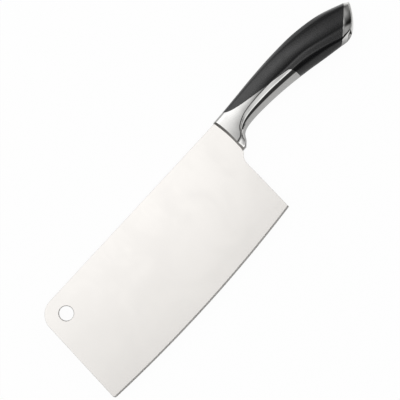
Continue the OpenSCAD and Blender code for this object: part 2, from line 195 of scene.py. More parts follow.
class BladeSizes(bpy.types.PropertyGroup):
    """Sizes of the blade sheet"""

    length: size("Length", "From the bolster to the toe", 179.4)
    depth: size("Depth", "From the spine to the lowest point of the edge", 78.8)
    spine_thick: size("Spine thickness", "Thickness at the spine", 2.5)
    edge_thick: size("Edge thickness", "Thickness just above the edge bevel", 0.8)
    edge_land: size("Edge land", "Flat left at the very edge", 0.1)
    bevel_width: size("Bevel width", "Width of the ground edge bevel", 1.1)
    edge_radius: number("Edge radius", "Radius of the curve of the edge", 1.0, "LENGTH")
    edge_apex: size("Edge apex", "From the bolster to the lowest point of the edge", 102.7)
    toe_lean: number(
        "Toe lean", "Lean of the toe away from square", math.radians(4.7), "ROTATION")
    heel_lean: number(
        "Heel lean", "Lean of the heel away from square", math.radians(3.3), "ROTATION")
    heel_setback: size("Heel setback", "From the bolster to the heel, level with the notch", 4.1)
    heel_notch: size("Heel notch", "Radius of the notch between the guard and the heel", 7.6)
    tip_round: size("Tip round", "Radius between the spine and the toe", 12.8)
    toe_round: size("Toe round", "Radius between the toe and the edge", 2.0)
    hole_radius: size("Hole radius", "Radius of the hanging hole", 4.9)
    hole_from_spine: size("Hole from spine", "From the spine to the hole", 13.6)
    hole_from_toe: size("Hole from toe", "From the toe to the hole, along the spine", 13.5)
    edge_break: size("Broken edge", "Rounding of the spine, toe and heel", 0.14)
    hole_break: size("Broken hole edge", "Rounding of the rims of the hole", 0.45)
    edge_fade: size("Edge fade", "Width over which the wear of the edges fades", 0.3)


class HandleSizes(bpy.types.PropertyGroup):
    """Sizes of the bolster, the grip and the end cap"""

    length: size("Length", "From the front of the bolster to the butt", 121.0)
    depth: size("Depth", "From the spine line to the lowest point", 28.3)
    thick: size("Thickness", "Greatest thickness", 20.4)
    strip_width: size("Top strip", "Greatest width of the rounded strip along the top", 3.3)
    front_bow: size("Front bow", "How far the front of the bolster bows back", 0.9)
    step_slope: number(
        "Step slope", "Slope of the step down to the blade", math.radians(62), "ROTATION")
    crease_dip: size("Crease dip", "Depth of the line between the top strip and the side", 0.12)
    cheek_dip: size("Cheek dip", "Depth of the crease below the cheek of the bolster", 0.15)
    guard_scoop: number("Guard scoop", "Fall of the guard towards its front corner", 0.20)
    cap_dip: size("Cap dip", "Depth of the crease round the end cap", 0.15)
    seam_dip: size("Seam dip", "Depth of the fine seam between the two shells", 0.10)


class Finish(bpy.types.PropertyGroup):
    """Colours and roughness of the finishes"""

    blade_colour: FloatVectorProperty(
        name="Blade", description="Satin steel of the blade", subtype="COLOR",
        default=(0.87, 0.845, 0.815))
    bolster_colour: FloatVectorProperty(
        name="Bolster", description="Polished steel of the bolster and cap", subtype="COLOR",
        default=(0.76, 0.755, 0.74))
    grip_colour: FloatVectorProperty(
        name="Grip", description="Black moulded grip", subtype="COLOR",
        default=(0.003, 0.003, 0.0035))
    blade_roughness: number("Blade roughness", "Roughness of the satin grind", 0.22)
    bevel_roughness: number("Bevel roughness", "Roughness of the honed edge bevel", 0.75)
    bolster_roughness: number("Bolster roughness", "Roughness of the polish", 0.11)
    grip_roughness: number("Grip roughness", "Roughness of the moulded skin", 0.24)


class Studio(bpy.types.PropertyGroup):
    """Camera, light and floor"""

    camera_height: number("Camera height", "From the blade to the camera", 0.95, "LENGTH")
    frame_width: size("Frame width", "Width that the picture shows at the blade", 266.7)
    sky_level: number("Sky level", "Strength of the soft light at its brightest", 1.9)
    fill_size: number("Fill size", "Width of the soft lamp overhead", 2.0, "LENGTH")
    fill_height: number("Fill height", "Height of the soft lamp", 1.5, "LENGTH")
    fill_power: number("Fill power", "Power of the soft lamp", 14.0, "POWER")
    butt_level: number("Butt level", "Strength of the light beyond the butt", 0.95)
    corner_level: number("Corner level", "Strength of the light in the studio's corners", 0.6)


def mix(a, b, t):
    """Straight way from a to b as t runs from zero to one."""
    return a + (b - a) * t


def bezier(points, t):
    """Cubic Bezier curve of four points at every t of an array."""
    t = t[..., None]
    return (points[0] * (1 - t) ** 3 + 3 * points[1] * t * (1 - t) ** 2
            + 3 * points[2] * t ** 2 * (1 - t) + points[3] * t ** 3)


def spline(table, u):
    """Rows of a table at places u: a cubic through the rows whose slope at each row is half
    the step between its neighbours, with a row carried straight on past both ends."""
    rows = np.vstack([2 * table[0] - table[1], table, 2 * table[-1] - table[-2]])
    at = np.clip(np.floor(u).astype(int), 0, len(table) - 2)
    f = (u - at)[..., None]
    a, b, c, d = (rows[at + k] for k in range(4))
    return (2 * b + (c - a) * f + (2 * a - 5 * b + 4 * c - d) * f ** 2
            + (3 * b - a - 3 * c + d) * f ** 3) / 2


def handle_point(share):
    """Point of the side view from shares of the handle's length and depth."""
    sizes = bpy.context.scene.cleaver_handle
    return share * np.array([-sizes.length, sizes.depth])


def bump_at(s, place, width):
    """Bell of height one about a place."""
    return np.exp(-((s - place) / width) ** 2)


def with_bells(level, s, bells):
    """A level with bells added, each with its place, height and width."""
    for place, height, width in bells:
        level = level + height * bump_at(s, place, width)
    return level


def side_profile(row, chord, s):
    """Way down from the top line and half thickness at s on half a section. From zero to the
    crease it is an arc of a squashed circle, then a straight line with a parabola added as
    far as the groove, then a straight flank up to the ridge, then an arc in to the belly.
    Below zero and above one it goes on as its own mirror image."""
    sizes = bpy.context.scene.cleaver_handle
    folded = 1 - np.abs(1 - np.abs(s))
    other_side = np.where((s < 0) | (s > 1), -1.0, 1.0)
    strip = row[..., 6] * sizes.strip_width
    groove = row[..., 4] * chord
    ridge = row[..., 5] * chord
    thick = row[..., 7] * sizes.thick / 2
    crease_z = CREASE_SHARE * thick
    groove_z = row[..., 8] * thick
    crown_z = row[..., 9] * thick

    turn = TOP_TURN * np.clip(folded / CREASE_S, 0, 1)
    top_down = strip * (1 - np.cos(turn)) / (1 - math.cos(TOP_TURN))
    top_z = crease_z * np.sin(turn) / math.sin(TOP_TURN)
    t = np.clip((folded - CREASE_S) / (GROOVE_S - CREASE_S), 0, 1)
    side_down = mix(strip, groove, t)
    side_z = mix(crease_z, groove_z, t) + crown_z * 4 * t * (1 - t)
    t = np.clip((folded - GROOVE_S) / (RIDGE_S - GROOVE_S), 0, 1)
    flank_down = mix(groove, ridge, t)
    flank_z = mix(groove_z, thick, t)
    turn = BELLY_TURN * np.clip((1 - folded) / (1 - RIDGE_S), 0, 1)
    belly_down = chord - (chord - ridge) * (1 - np.cos(turn)) / (1 - math.cos(BELLY_TURN))
    belly_z = thick * np.sin(turn) / math.sin(BELLY_TURN)

    where = [folded <= CREASE_S, folded <= GROOVE_S, folded <= RIDGE_S]
    down = np.select(where, [top_down, side_down, flank_down], belly_down)
    z = np.select(where, [top_z, side_z, flank_z], belly_z)
    return down, z * other_side


def handle_surface(u, s, seam=0.0, cast=False):
    """Points of the handle: u runs along the table of stations and s from the top line (zero)
    down one side to the belly line (one). The profile is averaged over a short window, which
    rounds its creases: a narrow one at the top crease, wider ones at groove and ridge. Two
    fine dips mark the top crease and the crease below the cheek, which cast metal keeps
    sharp all along the rail. Ahead of the first station the section goes straight on forwards
    and the guard falls a little."""
    sizes = bpy.context.scene.cleaver_handle
    u, s = np.broadcast_arrays(np.asarray(u, float), np.asarray(s, float))
    row = spline(STATION_SHARES, np.maximum(u, 0))
    first, last = GUARD_STATIONS
    on_guard = np.clip((last - u) / (last - first), 0, 1)
    row[..., 5] = mix(row[..., 5], GUARD_RIDGE_SHARE, on_guard ** 2 * (3 - 2 * on_guard))
    top = handle_point(row[..., 0:2])
    belly = handle_point(row[..., 2:4])
    chord = np.linalg.norm(belly - top, axis=-1)
    fade_start, fade_run = CAST_FADE if cast else GRIP_FADE
    on_grip = np.clip((u - fade_start) / fade_run, 0, 1)
    window = with_bells(WINDOW, s, [(place, mix(in_bolster, in_grip, on_grip), width)
                                    for place, in_bolster, in_grip, width in WINDOW_BELLS])
    window = window + RAIL_WINDOW * bump_at(u, *RAIL_STRETCH) * bump_at(s, *RAIL_BELL)
    down, z = np.zeros_like(u), np.zeros_like(u)
    taps = np.linspace(-1, 1, TAPS)
    weights = 1 - np.abs(taps) * TAP_FALL
    for tap, weight in zip(taps, weights / weights.sum()):
        d, h = side_profile(row, chord, s + tap * window)
        down = down + weight * d
        z = z + weight * h
    z = z - sizes.crease_dip * bump_at(s, CREASE_S, CREASE_WIDTH)
    z = z - sizes.cheek_dip * (1 - on_grip) * bump_at(s, GROOVE_S, CHEEK_WIDTH)
    down = down + seam * bump_at(s, 0, SEAM_WIDTH) - seam * bump_at(s, 1, SEAM_WIDTH)
    ahead = np.maximum(-u, 0) * sizes.length / JOINT_STATION
    scoop = sizes.guard_scoop * (np.hypot(ahead, SCOOP_ROUND) - SCOOP_ROUND)
    below = np.clip((s - GROOVE_S + SCOOP_RUN / 2) / SCOOP_RUN, 0, 1)
    z = z - scoop * below * np.clip((1 - s) / SCOOP_END, 0, 1)
    z = np.where((s <= 0) | (s >= 1), 0.0, np.maximum(z, 0))
    down_way = (belly - top) / chord[..., None]
    flat = top + down_way * down[..., None]
    return np.stack([flat[..., 0] + ahead, flat[..., 1], z], axis=-1)


def seat_line():
    """Line that parts grip and bolster in the side view, as points: the seat and the rail's
    round end, carried on below the belly."""
    t = np.linspace(0, 1, 60)
    rail_end = bezier(RAIL_END_SHARES, t[1:])
    past = rail_end[-1] + np.array([[0.0, 0.6]])
    return handle_point(np.vstack([bezier(SEAT_SHARES, t), rail_end, past]))


def crossing(s, first, last, border_x):
    """Station at which each s crosses a border: halves the stretch of stations until the
    surface's point and the border have the same place along the handle."""
    low, high = np.full_like(s, first), np.full_like(s, last)
    for _ in range(HALVINGS):
        middle = (low + high) / 2
        point = handle_surface(middle, s)
        behind = point[..., 0] < border_x(point)
        low, high = np.where(behind, low, middle), np.where(behind, middle, high)
    return (low + high) / 2


def seat_station(s):
    """Station at which each s crosses the seat line."""
    seat = seat_line()
    return crossing(s, 0.5, JOINT_STATION - 0.5,
                    lambda point: np.interp(point[..., 1], seat[:, 1], seat[:, 0]))


def front_circle():
    """Centre and radius of the bowed front, through the spine corner and the guard corner."""
    sizes = bpy.context.scene.cleaver_handle
    drop = STATION_SHARES[0, 3] * sizes.depth
    radius = ((drop / 2) ** 2 + sizes.front_bow ** 2) / (2 * sizes.front_bow)
    return np.array([radius - sizes.front_bow, drop / 2]), radius


def front_x(y, z):
    """Place of the bolster's front at y and z: a cylinder as thick as the spine, and a cone
    that falls back from it with the slope of the step."""
    sizes = bpy.context.scene.cleaver_handle
    half_spine = bpy.context.scene.cleaver_blade.spine_thick / 2
    centre, radius = front_circle()
    back = np.maximum(np.abs(z) - half_spine, 0) / math.tan(sizes.step_slope)
    return centre[0] - np.sqrt((radius + back) ** 2 - (y - centre[1]) ** 2)


def front_station(s):
    """Station at which each s crosses the bolster's front."""
    return crossing(s, -2.0, 2.0, lambda point: front_x(point[..., 1], point[..., 2]))


def eased(count, crowd):
    """Steps from zero to one that crowd towards both ends."""
    t = np.linspace(0, 1, count)
    return mix(t, (1 - np.cos(np.pi * t)) / 2, crowd)


def round_places():
    """Places round half a section, closer together at the creases and where the seat line
    runs far along the handle for a short way round it."""
    s = np.linspace(0, 1, FINE_STEPS + 1)
    seat = handle_surface(seat_station(s), s)
    run = np.linalg.norm(np.gradient(seat, s, axis=0), axis=1)
    run = run / bpy.context.scene.cleaver_handle.depth
    density = with_bells(1 + 2 * run, s, CLOSER)
    reach = np.concatenate([[0], np.cumsum((density[1:] + density[:-1]) / 2)])
    places = np.interp(np.linspace(0, reach[-1], ROUND_STEPS + 1), reach, s)
    for crease in (CREASE_S, GROOVE_S, RIDGE_S):
        places[np.argmin(np.abs(places - crease))] = crease
    return places


def place_offset():
    """Step from the front of the bolster, where sizes start, to the row frame."""
    blade = bpy.context.scene.cleaver_blade
    x = GAUGE_HIGH.x - toe_circle()[0][0] - blade.toe_round
    return np.array([x, GAUGE_HIGH.y - blade.depth, (GAUGE_LOW.z + GAUGE_HIGH.z) / 2])


def quads(columns, closed_rows, closed_columns):
    """Faces of a grid of points, numbered row by row, closed in either direction."""
    a = columns if closed_rows else columns[:-1]
    b = np.roll(columns, -1, axis=0) if closed_rows else columns[1:]
    if closed_columns:
        a_next, b_next = np.roll(a, -1, axis=1), np.roll(b, -1, axis=1)
    else:
        a, a_next, b, b_next = a[:, :-1], a[:, 1:], b[:, :-1], b[:, 1:]
    return np.stack([a, b, b_next, a_next], axis=-1).reshape(-1, 4)


def grid_piece(name, points, closed_rows, closed_columns, edge, flat=None, sharp=HANDLE_SHARP):
    """Mesh object from a grid of points. Doubles along lines where the grid folds shut are
    merged, faces are turned outwards, and creases over the angle stay sharp. edge is a number
    for each point: one on an edge that wear reaches, minus one in a crease that gets painted
    shade, and zero away from both."""
    numbers = np.arange(points[..., 0].size).reshape(points.shape[:2])
    faces = quads(numbers, closed_rows, closed_columns)
    mesh = bpy.data.meshes.new(name)
    mesh.from_pydata((points.reshape(-1, 3) + place_offset()).tolist(), [], faces.tolist())
    layer = mesh.attributes.new("edge", "FLOAT", "POINT")
    layer.data.foreach_set("value", edge.astype(np.float32).ravel())
    smooth = np.ones(len(faces), bool) if flat is None else ~flat.ravel()
    mesh.polygons.foreach_set("use_smooth", smooth)
    work = bmesh.new()
    work.from_mesh(mesh)
    bmesh.ops.remove_doubles(work, verts=work.verts, dist=MERGE)
    bmesh.ops.dissolve_degenerate(work, edges=work.edges, dist=MERGE / 10)
    bmesh.ops.recalc_face_normals(work, faces=work.faces)
    if work.calc_volume(signed=True) < 0:
        bmesh.ops.reverse_faces(work, faces=work.faces)
    work.to_mesh(mesh)
    work.free()
    smooth = np.zeros(len(mesh.polygons), bool)
    mesh.polygons.foreach_get("use_smooth", smooth)
    mesh.set_sharp_from_angle(angle=math.radians(sharp))
    mesh.polygons.foreach_set("use_smooth", smooth)
    mesh.update()
    piece = bpy.data.objects.new(name, mesh)
    bpy.context.scene.collection.objects.link(piece)
    return piece


def dress(piece, material, node):
    """Gives a piece its material and its place in the frame."""
    piece.data.materials.append(material)
    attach(piece, BODY)
    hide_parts(node)


def toe_top_and_edge_centre():
    """Place along the spine where the line of the toe meets it, and the centre of the curve
    of the edge."""
    blade = bpy.context.scene.cleaver_blade
    return (blade.length - blade.depth * math.tan(blade.toe_lean),
            np.array([blade.edge_apex, blade.depth - blade.edge_radius]))


def toe_circle():
    """Centre of the small corner between the leaning toe and the curved edge: on a line
    beside the toe, as far from the edge's centre as the two radii differ. Also the direction
    from the edge's centre to it."""
    blade = bpy.context.scene.cleaver_blade
    lean = blade.toe_lean
    along = np.array([math.sin(lean), math.cos(lean)])
    inward = np.array([-math.cos(lean), math.sin(lean)])
    toe_x, edge_centre = toe_top_and_edge_centre()
    start = np.array([toe_x, 0]) + blade.toe_round * inward - edge_centre
    offset = start @ along
    reach = blade.edge_radius - blade.toe_round
    run = math.sqrt(offset ** 2 + reach ** 2 - start @ start) - offset
    centre = edge_centre + start + run * along
    outward = (centre - edge_centre) / np.linalg.norm(centre - edge_centre)
    return centre, outward


def arc(centre, radius, first, last, steps):
    """Points of an arc between two angles."""
    turn = np.linspace(first, last, steps + 1)
    return centre + radius * np.stack([np.cos(turn), np.sin(turn)], axis=-1)


def on_circle(centre, radius, turn):
    """Point of a circle at an angle."""
    return arc(centre, radius, turn, turn, 0)[0]


def line(first, last, steps):
    """Points of a straight line."""
    return mix(np.asarray(first), np.asarray(last), np.linspace(0, 1, steps + 1)[:, None])


def blade_outline():
    """Outline of the blade from the spine corner round the tip, the toe, the edge, the heel
    and the notch back up the bolster's front. Also the share of bevel, as against a broken
    edge, just before and just after each point."""
    blade = bpy.context.scene.cleaver_blade
    lean = blade.toe_lean
    toe_x, edge_centre = toe_top_and_edge_centre()
    tip_x = toe_x + blade.tip_round * (math.tan(lean) - 1 / math.cos(lean))
    tip = np.array([tip_x, blade.tip_round])
    toe, toe_out = toe_circle()
    toe_last = math.atan2(toe_out[1], toe_out[0])
    drop = STATION_SHARES[0, 3] * bpy.context.scene.cleaver_handle.depth + blade.heel_notch
    slope = math.tan(blade.heel_lean)
    heel_x = blade.heel_setback - drop * slope
    notch = np.array([blade.heel_setback - blade.heel_notch / math.cos(blade.heel_lean), drop])
    # Heel corner: on the heel line and on the circle of the edge
    gap = heel_x - edge_centre[0]
    a, b = 1 + slope ** 2, gap * slope - edge_centre[1]
    c = gap ** 2 + edge_centre[1] ** 2 - blade.edge_radius ** 2
    heel_y = (-b + math.sqrt(b * b - a * c)) / a
    heel = np.array([heel_x + heel_y * slope, heel_y])
    heel_turn = math.atan2(heel[1] - edge_centre[1], heel[0] - edge_centre[0])
    # Where the notch meets the bowed front: halved down to its angle
    low, high = math.radians(-89), -blade.heel_lean
    for _ in range(HALVINGS):
        middle = (low + high) / 2
        at = on_circle(notch, blade.heel_notch, middle)
        low, high = (middle, high) if at[0] < front_x(at[1], 0) else (low, middle)
    front_y = np.linspace(on_circle(notch, blade.heel_notch, low)[1], 0, 33)
    tucked = TUCK * np.clip((front_y[0] - front_y - TUCK_FROM_NOTCH) / TUCK_RUN, 0, 1)
    tucked = tucked * np.clip((front_y - TUCK_FROM_SPINE) / TUCK_RUN, 0, 1)
    front = np.stack([front_x(front_y, 0) - tucked, front_y], axis=-1)
    tip_top = tip - np.array([0, blade.tip_round])
    # Each stretch, which leaves out its last point, and its share of bevel at start and end
    stretches = [
        (line(front[-1], tip_top, 60), 0, 0),
        (arc(tip, blade.tip_round, -math.pi / 2, -lean, 40), 0, 0),
        (line(on_circle(tip, blade.tip_round, -lean), on_circle(toe, blade.toe_round, -lean), 30),
         0, 0),
        (arc(toe, blade.toe_round, -lean, toe_last, 16), 0, 1),
        (arc(edge_centre, blade.edge_radius, toe_last, heel_turn, 160), 1, 1),
        (line(heel, on_circle(notch, blade.heel_notch, -blade.heel_lean), 24), 0, 0),
        (arc(notch, blade.heel_notch, -blade.heel_lean, low, 30), 0, 0),
        (front, 0, 0)]
    points = np.vstack([part[:-1] for part, _, _ in stretches])
    share = np.concatenate(
        [np.linspace(first, last, len(part))[:-1] for part, first, last in stretches])
    share_before = share.copy()
    starts = np.cumsum([0] + [len(part) - 1 for part, _, _ in stretches[:-1]])
    for at, (_, _, last) in zip(starts, [stretches[-1]] + stretches[:-1]):
        share_before[at] = last
    return points, share_before, share


def inset_outline(points, before, after):
    """Outline moved inwards: each corner goes to where its two sides meet once each has moved
    by its own distance, and a nearly straight corner along its mean normal."""
    ahead = np.roll(points, -1, axis=0) - points
    ahead = ahead / np.linalg.norm(ahead, axis=1)[:, None]
    inward = np.stack([-ahead[:, 1], ahead[:, 0]], axis=-1)
    earlier = np.roll(inward, 1, axis=0)
    cross = earlier[:, 0] * inward[:, 1] - earlier[:, 1] * inward[:, 0]
    straight = np.abs(cross) < STRAIGHT
    safe = np.where(straight, 1, cross)
    corner = np.stack([(before * inward[:, 1] - after * earlier[:, 1]) / safe,
                       (after * earlier[:, 0] - before * inward[:, 0]) / safe], axis=-1)
    mean = earlier + inward
    mean = mean / np.linalg.norm(mean, axis=1)[:, None]
    smooth = mean * ((before + after) / 2)[:, None]
    return points + np.where(straight[:, None], smooth, corner)


def mirrored(points):
    """The same points on the other side of the blade's middle."""
    return points * np.array([1, 1, -1])


def blade_points():
    """Grid of the blade: columns go round the outline, and each column is a closed loop that
    leaves the outline's wall, rounds the break or climbs the bevel, crosses the flat face to
    the hole, goes down the hole's wall and comes back on the other face."""
    blade = bpy.context.scene.cleaver_blade
    outline, before, after = blade_outline()
    toe_x, _ = toe_top_and_edge_centre()
    hole = np.array([toe_x - blade.hole_from_toe, blade.hole_from_spine])

    def half_thick(p):
        """Half of the taper's thickness at points."""
        return mix(blade.spine_thick, blade.edge_thick, p[..., 1] / blade.depth) / 2

    rings, edges = [], []
    share = (before + after) / 2
    for t in np.linspace(0, 1, BREAK_STEPS + 1):
        turn = t * math.pi / 2
        round_in = blade.edge_break * (1 - math.cos(turn))
        p = inset_outline(outline, mix(round_in, blade.bevel_width * t, before),
                          mix(round_in, blade.bevel_width * t, after))
        full = half_thick(p)
        round_z = full - blade.edge_break * (1 - math.sin(turn))
        bevel_z = mix(blade.edge_land / 2, full, t)
        rings.append(np.column_stack([p, mix(round_z, bevel_z, share)]))
        edges.append(mix(1 - t, 1, share))
    p = inset_outline(outline, mix(blade.edge_break, blade.bevel_width, before) + blade.edge_fade,
                      mix(blade.edge_break, blade.bevel_width, after) + blade.edge_fade)
    rings.append(np.column_stack([p, half_thick(p)]))
    edges.append(0 * share)
    direction = p - hole
    direction = direction / np.linalg.norm(direction, axis=1)[:, None]
    for t in np.linspace(0, 1, BREAK_STEPS + 1):
        turn = (1 - t) * math.pi / 2
        p = hole + direction * (blade.hole_radius + blade.hole_break * (1 - math.cos(turn)))
        full = half_thick(p)
        rings.append(np.column_stack([p, full - blade.hole_break * (1 - math.sin(turn))]))
        edges.append(np.full(len(p), t))
    top = np.array(rings)
    points = np.concatenate([top, mirrored(top)[::-1]])
    edge = np.array(edges + edges[::-1])
    flat = np.zeros(points.shape[:2], bool)
    flat[[BREAK_STEPS, BREAK_STEPS + 1, -BREAK_STEPS - 2, -BREAK_STEPS - 3]] = True
    return points, edge, flat


def between(steps):
    """Shares in equal steps from zero to one, without both ends, for rows of points."""
    return np.linspace(0, 1, steps + 1)[1:-1, None, None]


def bolster_points():
    """Grid of the bolster: the handle's surface between the bowed front and the seat line,
    the seat as a wall straight through, the surface of the other side, and the front with
    its sloped step."""
    s = round_places()
    front, seat = front_station(s), seat_station(s)
    t = eased(ALONG_STEPS, BOLSTER_CROWD)[:, None]
    u = mix(front, seat, t)
    side = handle_surface(u, s[None, :], cast=True)
    side[0, :, 0] = front_x(side[0, :, 1], side[0, :, 2])
    wall = mix(side[-1], mirrored(side[-1]), between(2 * WALL_STEPS))
    step_z = np.linspace(-1, 1, 4 * WALL_STEPS + 1)[1:-1, None]
    half_spine = bpy.context.scene.cleaver_blade.spine_thick / 2
    face = np.broadcast_to(side[0], (len(step_z),) + side[0].shape).copy()
    height = side[0, :, 2]
    z = step_z * height
    near_spine = np.abs(np.abs(z) - half_spine) < height / (4 * WALL_STEPS)
    z = np.where(near_spine, np.sign(z) * half_spine, z)
    face[..., 2] = z
    face[..., 0] = front_x(face[..., 1], z)
    points = np.concatenate([side, wall, mirrored(side)[::-1], face])
    edge = np.zeros(points.shape[:2])
    # Painted shade: a dark line in the colour along the groove below the cheek, fading along the
    # rail
    crease_shade = bump_at(s, GROOVE_S, CREASE_SHADE_WIDTH) * np.interp(u, CREASE_SHADE_STATIONS, CREASE_SHADE_LEVELS)
    edge[:len(side)] = CREASE_WEAR * bump_at(s, CREASE_S, WEAR_WIDTH) - crease_shade
    first_back = len(side) + len(wall)
    edge[first_back:first_back + len(side)] = edge[:len(side)][::-1]
    edge[[len(side) - 1, first_back]] = EDGE_WEAR
    return points, edge


def grip_points(side_sign):
    """Grid of one grip shell: the handle's surface from the seat line to the joint of the end
    cap, a wall at the joint, the flat parting face in the middle, and the seat wall."""
    sizes = bpy.context.scene.cleaver_handle
    s = round_places()
    seat = seat_station(s)
    t = eased(ALONG_STEPS, GRIP_CROWD)[:, None]
    side = handle_surface(mix(seat, float(JOINT_STATION), t), s[None, :], sizes.seam_dip)
    middle = side * np.array([1, 1, 0])
    t = between(WALL_STEPS)
    points = np.concatenate([side, mix(side[-1], middle[-1], t), middle[::-1],
                             mix(middle[0], side[0], t)])
    edge = np.zeros(points.shape[:2])
    edge[:] = with_bells(0, s, [(0, CREASE_WEAR, WEAR_WIDTH), (1, CREASE_WEAR, WEAR_WIDTH)])
    edge[[0, len(side) - 1]] = 1
    return points * np.array([1, 1, side_sign]), edge


def cap_points():
    """Grid of the end cap: from the joint's section the wall runs straight to the crease
    curve, the rim slopes in to the outline of the butt, and the butt face swells a little to
    its middle line. Both creases are rounded by an average over a short window."""
    s = round_places()
    joint = handle_surface(np.full_like(s, JOINT_STATION), s)
    ridge_at = int(np.argmin(np.abs(s - RIDGE_S)))
    down = np.linalg.norm(joint[:, :2] - joint[0, :2], axis=1)
    down = np.clip(down / down[ridge_at], 0, 1)
    past = np.clip((s - RIDGE_S) / (1 - RIDGE_S), 0, 1)[:, None]
    crease = mix(handle_point(bezier(CREASE_SHARES, down)), handle_point(CREASE_BELLY_SHARE), past)
    rim = mix(handle_point(bezier(BUTT_SHARES, down)), handle_point(BUTT_BELLY_SHARE), past)
    crown = BUTT_CROWN_SHARE * np.sin(np.pi * s)
    keys = np.array([joint,
                     np.column_stack([crease, joint[:, 2] * CAP_CREASE_SHARE]),
                     np.column_stack([rim, joint[:, 2] * CAP_RIM_SHARE]),
                     np.column_stack([mix(crease, rim, 1 + crown[:, None]), 0 * s])])
    ends = (s <= 0) | (s >= 1)
    keys[3][ends] = keys[2][ends]
    v = np.concatenate([np.linspace(*stretch)[:-1] for stretch in CAP_STRETCHES] + [[3.0]])
    window = np.where(v < CAP_FIXED, 0, with_bells(CAP_WINDOW, v, CAP_WINDOWS))
    half = np.zeros((len(v), len(s), 3))
    dip = bpy.context.scene.cleaver_handle.cap_dip
    taps = np.linspace(-1, 1, CAP_TAPS)
    for tap in taps:
        at = v + tap * window
        other_side = at > 3
        at = 3 - np.abs(3 - at)
        i = np.clip(np.floor(at).astype(int), 0, 2)
        f = at - i
        share = np.stack([f, f, np.where(i == 0, f ** 2, f)], axis=-1)[:, None, :]
        tapped = mix(keys[i], keys[i + 1], share)
        tapped[other_side, :, 2] *= -1
        half = half + tapped / len(taps)
    half[..., 2] = np.maximum(half[..., 2] - dip * bump_at(v, *CAP_DIP_BELL)[:, None], 0)
    half[-1, :, 2] = 0
    wall = mix(mirrored(half[0]), half[0], between(2 * WALL_STEPS))
    points = np.concatenate([half, mirrored(half)[::-1][1:], wall])
    edge = np.zeros(points.shape[:2])
    # Wear lightens the cap's rim; painted shade darkens its crease
    rim_wear_and_shade = EDGE_WEAR * bump_at(v, *RIM_BELL) - bump_at(v, *CAP_SHADE_BELL)
    edge[:len(v)] = rim_wear_and_shade[:, None]
    edge[len(v):2 * len(v) - 1] = rim_wear_and_shade[::-1][1:, None]
    return points, edge


def feed(tree, socket, value):
    """Links an input to a socket, or sets it to a value."""
    if isinstance(value, bpy.types.NodeSocket):
        tree.links.new(value, socket)
    else:
        socket.default_value = value


def node_at(tree, kind, *feeds, **settings):
    """Adds a node. A name sets the input of that name, with _ for a space, or else one of the
    node's own settings. What is given without a name goes to the inputs in their order."""
    node = tree.nodes.new(kind)
    for name, value in settings.items():
        label = name.replace("_", " ")
        if label in node.inputs:
            feed(tree, node.inputs[label], value)
        else:
            setattr(node, name, value)
    for socket, value in zip(node.inputs, feeds):
        feed(tree, socket, value)
    return node


def maths(tree, operation, *values):
    """Sum, product or the like of numbers or sockets."""
    return node_at(tree, "ShaderNodeMath", *values, operation=operation).outputs[0]


def ramp(tree, value, low, high, start=0.0, end=1.0):
    """Number that runs smoothly from start to end as a value goes from low to high."""
    return node_at(tree, "ShaderNodeMapRange", interpolation_type="SMOOTHSTEP", Value=value,
                   From_Min=low, From_Max=high, To_Min=start, To_Max=end).outputs["Result"]


def mixed(tree, share, first, second, kind="FLOAT"):
    """Number or colour that runs from the first to the second with a share."""
    return node_at(tree, "ShaderNodeMix", data_type=kind, Factor=share, A=first,
                   B=second).outputs["Result"]


def arrange(tree):
    """Places the nodes of a tree in columns, each to the left of all that it feeds."""
    columns = dict.fromkeys(tree.nodes.keys(), 0)
    for _ in tree.nodes:
        for link in tree.links:
            name = link.from_node.name
            columns[name] = max(columns[name], columns[link.to_node.name] + 1)
    filled = [0] * (len(columns) + 1)
    for node in tree.nodes:
        column = columns[node.name]
        node.location = (-NODE_WIDTH * column, -NODE_HEIGHT * filled[column])
        filled[column] += 1


def effect_group(name, setting, default, results):
    """Empty node group that takes a place and one setting and gives numbers. Returns the tree
    and its inner ends."""
    tree = bpy.data.node_groups.new(name, "ShaderNodeTree")
    kind = "NodeSocketFloat" if isinstance(default, float) else "NodeSocketVector"
    tree.interface.new_socket("Vector", in_out="INPUT", socket_type="NodeSocketVector")
    tree.interface.new_socket(setting, in_out="INPUT", socket_type=kind).default_value = default
    for label in results:
        tree.interface.new_socket(label, in_out="OUTPUT", socket_type="NodeSocketFloat")
    given, result = tree.nodes.new("NodeGroupInput"), tree.nodes.new("NodeGroupOutput")
    return tree, given.outputs, result.inputs


def grind_lines_group():
    """Fine lines: noise pulled out along one direction, at two widths."""
    tree, given, result = effect_group(
        "Grind Lines", "Lines", (3000.0, 30.0, 3000.0), ("Height", "Tone"))
    stretched = node_at(tree, "ShaderNodeVectorMath", given["Vector"], given["Lines"],
                        operation="MULTIPLY").outputs[0]
    for label, scale, detail, roughness in (("Height", 1.0, 3.0, 0.7), ("Tone", 0.13, 2.0, 0.5)):
        noise = node_at(tree, "ShaderNodeTexNoise", Vector=stretched, Scale=scale,
                        Detail=detail, Roughness=roughness)
        feed(tree, result[label], noise.outputs["Fac"])
    return tree


def handling_group():
    """Soft smudges of handling: low noise bent by itself, as a mask."""
    tree, given, result = effect_group("Handling Marks", "Size", 60.0, ("Mask",))
    cloud = node_at(tree, "ShaderNodeTexNoise", Vector=given["Vector"], Scale=given["Size"],
                    Detail=4.0, Roughness=0.62, Distortion=0.8)
    feed(tree, result["Mask"], ramp(tree, cloud.outputs["Fac"], 0.38, 0.68))
    return tree


